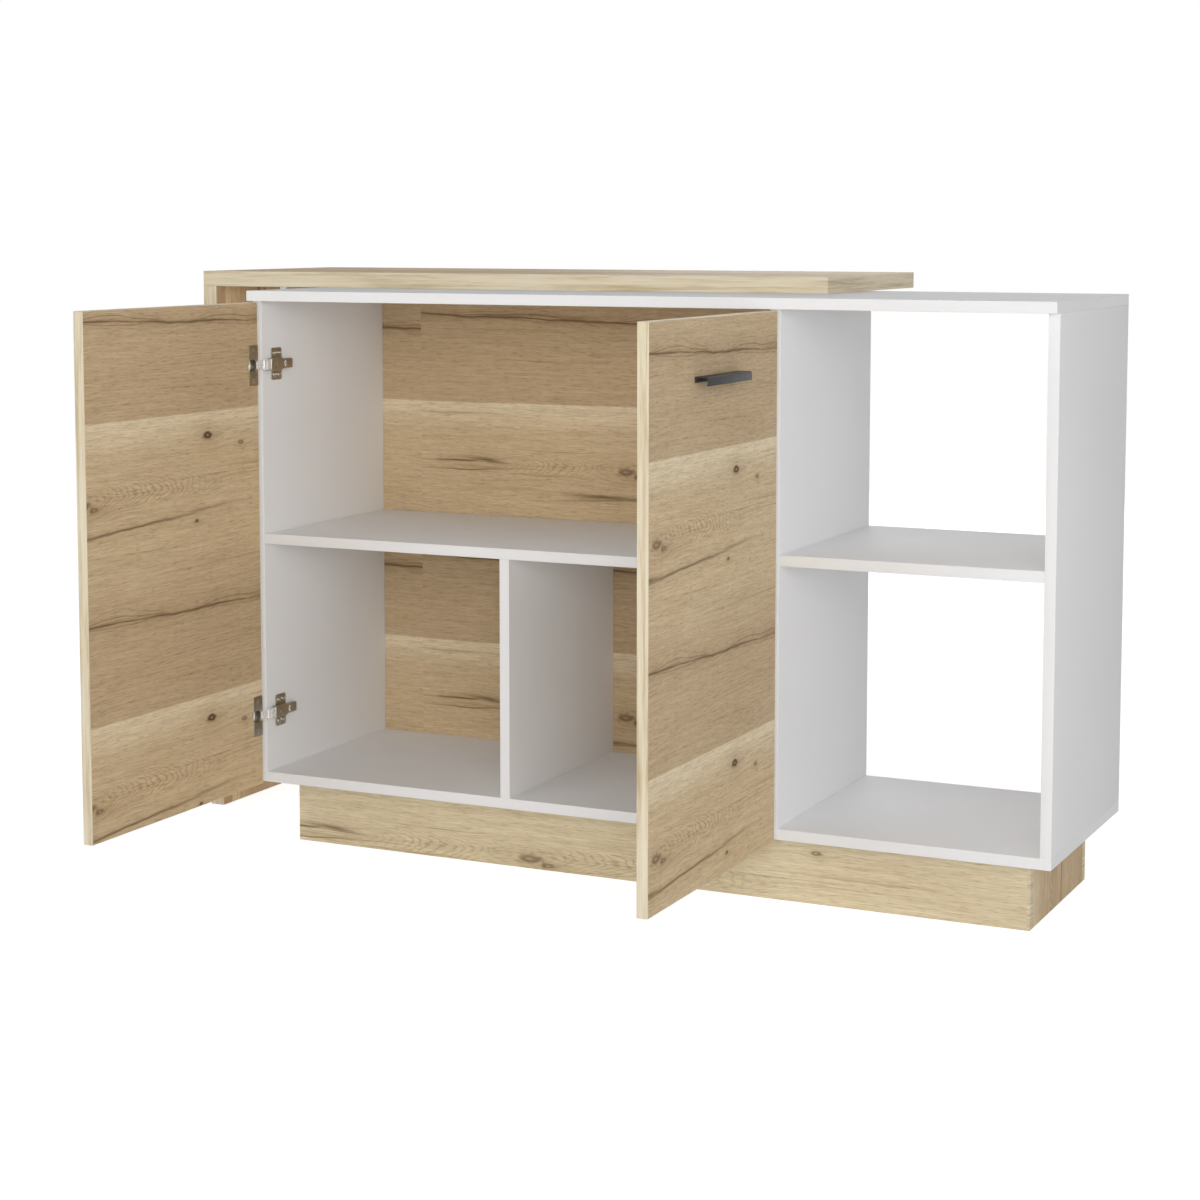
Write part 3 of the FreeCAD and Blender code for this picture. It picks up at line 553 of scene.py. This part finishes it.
# Each strip of the hinge: its two ends front to back, its half height, and its rise over the board
NECK = (-6.5, 12.5, 8.0, (3.0, 9.0))
NECK_NOTCH = (2.0, 6.6)
NECK_NOSE = 2.0
BODY = (11.5, 45.0, 9.4, (2.4, 10.2))
BODY_CORNER = 1.6
TAIL = (43.0, 73.0, 7.5, (2.4, 9.0))
TAIL_CORNER = 1.2
CHANNEL_WALL = 1.2
RIM_SHARE = 0.7
PLATE = (24.0, 52.0, 25.0, (0.0, 2.0))
PLATE_CORNER = 4.0
PLATE_CORE = (22.0, 64.0, 6.4, (0.0, 7.4))
PLATE_EASE = 0.4
SHEET_EASE = 0.25
CUP_PLATE = (-36.7, -13.0, 31.5, (0.0, 0.93))
CUP_PLATE_NOTCH = (-15.5, 8.6)
CUP_PLATE_CORNER = 1.6
CUP_MIDDLE = -35.0
CUP_RADIUS = 17.4
CUP_DEPTH = 12.4
CUP_WALL = 0.8
CUP_CORNER = 2.0
CUP_RIM = -0.05
LID_NOTCH = (-40.5, 7.2)
LID_THICKNESS = 0.5
LID_OVERLAP = 0.15
LID_UNDER_PLATE = 0.4
LINK_PIN = (6.0, -4.0)
LINK_EYE = (2.2, 1.36)
LINK_LENGTH = 16.4
LINK_HALF = (0.9, 6.2)
LINK_CLEARANCE = 0.15
LINK_TIP = 2.6
LINK_EASE = 0.3
LINK_TILT = 13.0
SLOT_PLACE = 52.5
SLOT_HALF = (2.9, 5.2, 0.5)
SLOT_EASE = 0.15


def keep_piece(name, shape, place, finish, body, replaced=()):
    """Puts a finished shape in the scene as a piece that rides on a body."""
    bmesh.ops.transform(shape, matrix=place, verts=shape.verts)
    bmesh.ops.remove_doubles(shape, verts=shape.verts, dist=MERGE_DISTANCE)
    bmesh.ops.recalc_face_normals(shape, faces=shape.faces)
    mesh = bpy.data.meshes.new(name)
    shape.to_mesh(mesh)
    shape.free()
    mesh.materials.append(finishes[finish])
    mesh.shade_smooth()
    mesh.set_sharp_from_angle(angle=SMOOTH_ANGLE)
    piece = bpy.data.objects.new(name, mesh)
    bpy.context.collection.objects.link(piece)
    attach(piece, body)
    if replaced:
        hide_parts(*replaced)


def edges_along(shape, axis):
    """The edges that run along one axis."""
    found = []
    for edge in shape.edges:
        way = edge.verts[1].co - edge.verts[0].co
        if way.length > 0 and abs(way[axis]) > 0.999 * way.length:
            found.append(edge)
    return found


def lying_at(items, axis, value):
    """The faces or edges whose corners all lie at one value along an axis."""
    return [item for item in items if all(abs(v.co[axis] - value) < SAME_PLACE for v in item.verts)]


def round_off(shape, edges, radius, segments):
    bmesh.ops.bevel(
        shape, geom=edges, offset=radius, segments=segments, profile=0.5, affect="EDGES", material=-1
    )


def ease(shape, radius):
    """Breaks the sharp edges of a shape."""
    sharp = [edge for edge in shape.edges if edge.is_manifold and edge.calc_face_angle() > SHARP_ANGLE]
    round_off(shape, sharp, radius, 2)


def pull(shape, faces, way):
    """Gives flat faces a thickness."""
    made = bmesh.ops.extrude_face_region(shape, geom=faces)["geom"]
    moved = [item for item in made if isinstance(item, bmesh.types.BMVert)]
    bmesh.ops.translate(shape, vec=way, verts=moved)


def spin_round(shape, middle, axis, steps):
    """Turns an outline once round an axis."""
    bmesh.ops.spin(
        shape,
        geom=shape.verts[:] + shape.edges[:],
        cent=middle,
        axis=axis,
        angle=2 * math.pi,
        steps=steps,
        use_merge=True,
    )


def joined(shape, *others):
    """One shape from several."""
    for other in others:
        spare = bpy.data.meshes.new("spare")
        other.to_mesh(spare)
        other.free()
        shape.from_mesh(spare)
        bpy.data.meshes.remove(spare)
    return shape


def block(strip):
    """A block between two ends, as high as its strip says."""
    start, end, half, (low, high) = strip
    shape = bmesh.new()
    bmesh.ops.create_cube(shape, size=1.0)
    bmesh.ops.scale(shape, vec=(high - low, end - start, 2 * half), verts=shape.verts)
    bmesh.ops.translate(shape, vec=((low + high) / 2, (start + end) / 2, 0.0), verts=shape.verts)
    return shape


def notched_sheet(strip, notch):
    """A strip with a notch in the middle of its front: the notch's end and its half height."""
    start, end, half, (low, high) = strip
    notch_end, notch_half = notch
    along = (start, notch_end, end)
    across = (-half, -notch_half, notch_half, half)
    shape = bmesh.new()
    bmesh.ops.create_grid(shape, x_segments=len(along) - 1, y_segments=len(across) - 1, size=1.0)
    for vert in shape.verts:
        column = round((vert.co.x + 1) / 2 * (len(along) - 1))
        row = round((vert.co.y + 1) / 2 * (len(across) - 1))
        vert.co = (high, along[column], across[row])
    opened = []
    for face in shape.faces:
        middle = face.calc_center_median()
        if middle.y < notch_end and abs(middle.z) < notch_half:
            opened.append(face)
    bmesh.ops.delete(shape, geom=opened, context="FACES")
    pull(shape, shape.faces[:], (low - high, 0, 0))
    bmesh.ops.recalc_face_normals(shape, faces=shape.faces)
    return shape


def disc(segments, radius, out, back):
    """A flat disc that faces off the board, at a rise over it and a distance back."""
    shape = bmesh.new()
    bmesh.ops.create_circle(shape, cap_ends=True, segments=segments, radius=radius)
    upright = Matrix(((0, 0, 1, out), (1, 0, 0, back), (0, 1, 0, 0), (0, 0, 0, 1)))
    bmesh.ops.transform(shape, matrix=upright, verts=shape.verts)
    return shape


def pressed_channel(strip, corner):
    """A pressed steel cover, open towards the board, with rounded corners and a wall's thickness."""
    shape = block(strip)
    low, high = strip[3]
    bmesh.ops.delete(shape, geom=lying_at(shape.faces, 0, low), context="FACES_ONLY")
    round_off(shape, edges_along(shape, 0), corner, 4)
    round_off(shape, lying_at(shape.edges, 0, high), corner * RIM_SHARE, 3)
    bmesh.ops.recalc_face_normals(shape, faces=shape.faces)
    bmesh.ops.solidify(shape, geom=shape.faces[:], thickness=CHANNEL_WALL)
    return shape


def hinge_neck():
    """The arm's forked front: two cheeks that hold the link's pin, joined by a web behind."""
    shape = notched_sheet(NECK, NECK_NOTCH)
    round_off(shape, lying_at(edges_along(shape, 2), 1, NECK[0]), NECK_NOSE, 4)
    ease(shape, SHEET_EASE)
    return shape


def hinge_plate():
    """The plate on the board: rounded wings for the screws, and the core that carries the arm."""
    shape = block(PLATE)
    round_off(shape, edges_along(shape, 0), PLATE_CORNER, 5)
    ease(shape, PLATE_EASE)
    core = block(PLATE_CORE)
    ease(core, PLATE_EASE)
    return joined(shape, core)


def adjusting_slot():
    """The oval washer under the rear set screw."""
    wide, tall, thick = SLOT_HALF
    rise = TAIL[3][1]
    shape = disc(32, 1.0, rise, 0.0)
    bmesh.ops.scale(shape, vec=(1.0, wide, tall), verts=shape.verts)
    bmesh.ops.translate(shape, vec=(0, SLOT_PLACE, 0), verts=shape.verts)
    pull(shape, shape.faces[:], (thick, 0, 0))
    bmesh.ops.recalc_face_normals(shape, faces=shape.faces)
    ease(shape, SLOT_EASE)
    return shape


def hinge_cup():
    """A spun cup let into the door, under a pressed plate with a slot for the link."""
    inner = CUP_RADIUS - CUP_WALL
    bottom = CUP_WALL - CUP_DEPTH
    section = (
        (0.0, bottom),
        (inner - CUP_CORNER, bottom),
        (inner, bottom + CUP_CORNER),
        (inner, CUP_RIM),
        (CUP_RADIUS, CUP_RIM),
        (CUP_RADIUS, CUP_CORNER - CUP_DEPTH),
        (CUP_RADIUS - CUP_CORNER, -CUP_DEPTH),
        (0.0, -CUP_DEPTH),
    )
    shape = bmesh.new()
    points = [shape.verts.new((depth, CUP_MIDDLE + radius, 0.0)) for radius, depth in section]
    for pair in zip(points, points[1:]):
        shape.edges.new(pair)
    spin_round(shape, (0.0, CUP_MIDDLE, 0.0), (1.0, 0.0, 0.0), 64)
    bmesh.ops.remove_doubles(shape, verts=shape.verts, dist=SAME_PLACE)
    plate = notched_sheet(CUP_PLATE, CUP_PLATE_NOTCH)
    upright = [edge for edge in edges_along(plate, 0) if edge.is_manifold]
    corners = [edge for edge in upright if edge.calc_face_angle() > SHARP_ANGLE]
    round_off(plate, corners, CUP_PLATE_CORNER, 4)
    ease(plate, SHEET_EASE)
    return joined(shape, plate)


def cup_lid():
    """A thin oak lid over the part of the cup that the plate leaves open."""
    shape = disc(96, CUP_RADIUS + LID_OVERLAP, 0.0, CUP_MIDDLE)
    notch_end, notch_half = LID_NOTCH
    plate_edge = CUP_PLATE[0] + LID_UNDER_PLATE
    for at, way in (
        ((0, plate_edge, 0), (0, 1, 0)),
        ((0, notch_end, 0), (0, 1, 0)),
        ((0, 0, notch_half), (0, 0, 1)),
        ((0, 0, -notch_half), (0, 0, 1)),
    ):
        every = shape.verts[:] + shape.edges[:] + shape.faces[:]
        bmesh.ops.bisect_plane(shape, geom=every, plane_co=at, plane_no=way, dist=0.0001)
    opened = []
    for face in shape.faces:
        middle = face.calc_center_median()
        if middle.y > plate_edge or (middle.y > notch_end and abs(middle.z) < notch_half):
            opened.append(face)
    bmesh.ops.delete(shape, geom=opened, context="FACES")
    pull(shape, shape.faces[:], (-LID_THICKNESS, 0, 0))
    return shape


def hinge_link():
    """A rolled eye on the arm's pin and a strap that reaches over the cup."""
    outer, inner = LINK_EYE
    half_thick, half_high = LINK_HALF
    section = ((inner, -half_high), (outer, -half_high), (outer, half_high), (inner, half_high))
    shape = bmesh.new()
    points = [shape.verts.new((radius, 0.0, height)) for radius, height in section]
    for pair in zip(points, points[1:] + points[:1]):
        shape.edges.new(pair)
    spin_round(shape, (0.0, 0.0, 0.0), (0.0, 0.0, 1.0), 32)
    bmesh.ops.recalc_face_normals(shape, faces=shape.faces)
    strap = block((-LINK_LENGTH, -inner - LINK_CLEARANCE, half_high, (-half_thick, half_thick)))
    tips = [edge for edge in edges_along(strap, 0) if edge.verts[0].co.y < -LINK_LENGTH / 2]
    round_off(strap, tips, LINK_TIP, 5)
    ease(strap, LINK_EASE)
    joined(shape, strap)
    tilt = Matrix.Rotation(math.radians(-LINK_TILT), 4, "Z")
    bmesh.ops.transform(shape, matrix=Matrix.Translation((*LINK_PIN, 0.0)) @ tilt, verts=shape.verts)
    return shape


def hinge_place(side, level):
    """From a hinge's own millimetres to the frame: off the board, back from the cabinet's front, up."""
    turn = Matrix.Diagonal((INTO_CUPBOARD[side] * MM, MM, MM, 1.0))
    return Matrix.Translation((HINGE_FACE[side], FRONT, level)) @ turn


STEEL = "nickel_steel"

for side in ("left", "right"):
    door = f"{side}_door"
    links = f"{side}_hinge_links"
    for height in ("upper", "lower"):
        hinge = f"{side}_{height}"
        low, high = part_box(f"{hinge}_hinge_cup")
        place = hinge_place(side, (low.z + high.z) / 2)
        # The neck, the slot washer and the link take the bright finish, a painted reflection on steel.
        for part, shape, finish, body, slot, replaced in (
            ("plate", hinge_plate(), "nickel", "cabinet", STEEL, [f"{hinge}_hinge_plate"]),
            ("neck", hinge_neck(), "bright", "cabinet", STEEL, [f"{hinge}_hinge_arm"]),
            ("body", pressed_channel(BODY, BODY_CORNER), "nickel", "cabinet", STEEL, []),
            ("tail", pressed_channel(TAIL, TAIL_CORNER), "nickel", "cabinet", STEEL, []),
            ("slot", adjusting_slot(), "bright", "cabinet", STEEL, []),
            ("link", hinge_link(), "bright", links, STEEL, [f"{hinge}_hinge_link"]),
            ("cup", hinge_cup(), "nickel", door, STEEL, [f"{hinge}_hinge_cup"]),
            ("cup_lid", cup_lid(), door, door, "oak_board", []),
        ):
            keep_piece(f"{hinge}_{part}", shape, place, finish, body, replaced)


# White boards with the small rounding that their edging has

EASED_BOARDS = ("left_side", "right_side", "divider", "partition", "cupboard_shelf", "open_shelf")
EASED_RADIUS = 0.0006

for node in EASED_BOARDS:
    low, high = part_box(node)
    board = bmesh.new()
    bmesh.ops.create_cube(board, size=1.0)
    bmesh.ops.scale(board, vec=high - low, verts=board.verts)
    bmesh.ops.translate(board, vec=(low + high) / 2, verts=board.verts)
    round_off(board, board.edges[:], EASED_RADIUS, 3)
    keep_piece(f"{node}_board", board, Matrix.Identity(4), "white", "cabinet", [node])


# Each corner of the handle's bent strip: out from the door, down from its top, radius of the bend
HANDLE_SECTION = (
    (0.0, 0.0, 0.3),
    (0.0, -8.0, 0.4),
    (2.0, -8.0, 0.4),
    (2.0, -2.0, 0.8),
    (18.0, -2.0, 0.8),
    (18.0, -12.0, 0.5),
    (20.0, -12.0, 0.5),
    (20.0, 0.0, 2.4),
)
HANDLE_END_EASE = 0.2


def handle_strip():
    """A steel strip bent twice, from its section pulled along the door."""
    shape = bmesh.new()
    section = shape.faces.new([shape.verts.new((out, 0.0, down)) for out, down, bend in HANDLE_SECTION])
    pull(shape, [section], (0, HANDLE_LENGTH / MM, 0))
    bmesh.ops.recalc_face_normals(shape, faces=shape.faces)
    for out, down, bend in HANDLE_SECTION:
        corner = lying_at(lying_at(edges_along(shape, 1), 0, out), 2, down)
        round_off(shape, corner, bend, 5)
    ends = [edge for edge in shape.edges if abs(edge.verts[0].co.y - edge.verts[1].co.y) < SAME_PLACE]
    round_off(shape, ends, HANDLE_END_EASE, 2)
    return shape


for side in ("left", "right"):
    door = f"{side}_door"
    low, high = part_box(f"{door}_handle")
    turn = Matrix.Diagonal((-INTO_CUPBOARD[side] * MM, MM, MM, 1.0))
    place = Matrix.Translation((HANDLE_FACE[side], low.y, high.z)) @ turn
    keep_piece(
        f"{side}_handle", handle_strip(), place, "graphite", door, [f"{door}_handle"]
    )


# Floor, light and camera

FLOOR_HALF = 30.0
PAPER = (0.88, 0.88, 0.88, 1.0)
SEEN_PAPER = (0.55, 0.55, 0.55, 1.0)
SEEN_GLOW = 0.80


def seen_directly(graph):
    """1 for rays from the camera, from glossy metal and through glass."""
    path = graph.add("ShaderNodeLightPath").outputs
    seen = graph.math("MAXIMUM", path["Is Camera Ray"], path["Is Glossy Ray"])
    return graph.math("MAXIMUM", seen, path["Is Transmission Ray"])


def pale_floor():
    """Pale paper. Seen directly it is near white, and still takes the object's shadow."""
    material = bpy.data.materials.new("pale_floor")
    material.use_nodes = True
    material.node_tree.nodes.clear()
    graph = Graph(material.node_tree)
    paper = graph.add("ShaderNodeBsdfDiffuse", {"Color": PAPER}).outputs[0]
    soft = graph.add("ShaderNodeBsdfDiffuse", {"Color": SEEN_PAPER}).outputs[0]
    glow = graph.add("ShaderNodeEmission", {"Strength": SEEN_GLOW}).outputs[0]
    bright = graph.add("ShaderNodeAddShader", {0: soft, 1: glow}).outputs[0]
    mixed = graph.add("ShaderNodeMixShader", {0: seen_directly(graph), 1: paper, 2: bright}).outputs[0]
    graph.add("ShaderNodeOutputMaterial", {"Surface": mixed})
    return material


floor_shape = bmesh.new()
bmesh.ops.create_grid(floor_shape, x_segments=1, y_segments=1, size=FLOOR_HALF)
floor_mesh = bpy.data.meshes.new("floor")
floor_shape.to_mesh(floor_mesh)
floor_shape.free()
floor_mesh.materials.append(pale_floor())
floor = bpy.data.objects.new("floor", floor_mesh)
bpy.context.collection.objects.link(floor)

WALL_LIGHT = 0.62
CEILING_LIGHT = 0.26
SEEN_LIGHT = 1.0
world = bpy.data.worlds.new("studio")
world.use_nodes = True
bpy.context.scene.world = world
sky = Graph(world.node_tree)
background = world.node_tree.nodes["Background"]
background.inputs["Color"].default_value = (1, 1, 1, 1)
upward = sky.split(sky.add("ShaderNodeTexCoord").outputs["Generated"])["Z"]
room_light = sky.fade(upward, 0.0, 1.0, WALL_LIGHT, CEILING_LIGHT)
seen_or_room = sky.fade(seen_directly(sky), 0.0, 1.0, room_light, SEEN_LIGHT)
sky.join(seen_or_room, background.inputs["Strength"])

MIDDLE = Vector((0.0, 0.0, 0.45))


def lamp(name, place, size, power):
    """A round soft lamp that points at the middle of the cabinet."""
    data = bpy.data.lights.new(name, "AREA")
    data.shape = "DISK"
    data.size = size
    data.energy = power
    item = bpy.data.objects.new(name, data)
    item.location = place
    item.rotation_euler = (MIDDLE - Vector(place)).to_track_quat("-Z", "Y").to_euler()
    bpy.context.collection.objects.link(item)


lamp("right_front_lamp", (3.4, -3.9, 1.7), 3.0, 34)
lamp("left_front_lamp", (-2.6, -4.6, 1.7), 3.0, 32)
lamp("front_lamp", (1.8, -5.0, 1.3), 2.2, 66)
lamp("rear_lamp", (-0.8, 4.8, 1.8), 3.0, 46)

CAMERA_PLACE = (1.4910, -3.4051, 0.9765)
CAMERA_PITCH = 90 - 5.3807
CAMERA_YAW = 25.4808
camera_data = bpy.data.cameras.new("camera")
camera_data.lens = 73.71
camera_data.sensor_width = 36.0
camera_data.shift_y = -0.12
camera = bpy.data.objects.new("camera", camera_data)
camera.location = CAMERA_PLACE
camera.rotation_euler = (math.radians(CAMERA_PITCH), 0.0, math.radians(CAMERA_YAW))
bpy.context.collection.objects.link(camera)
bpy.context.scene.camera = camera

bpy.context.scene.view_settings.view_transform = "Standard"
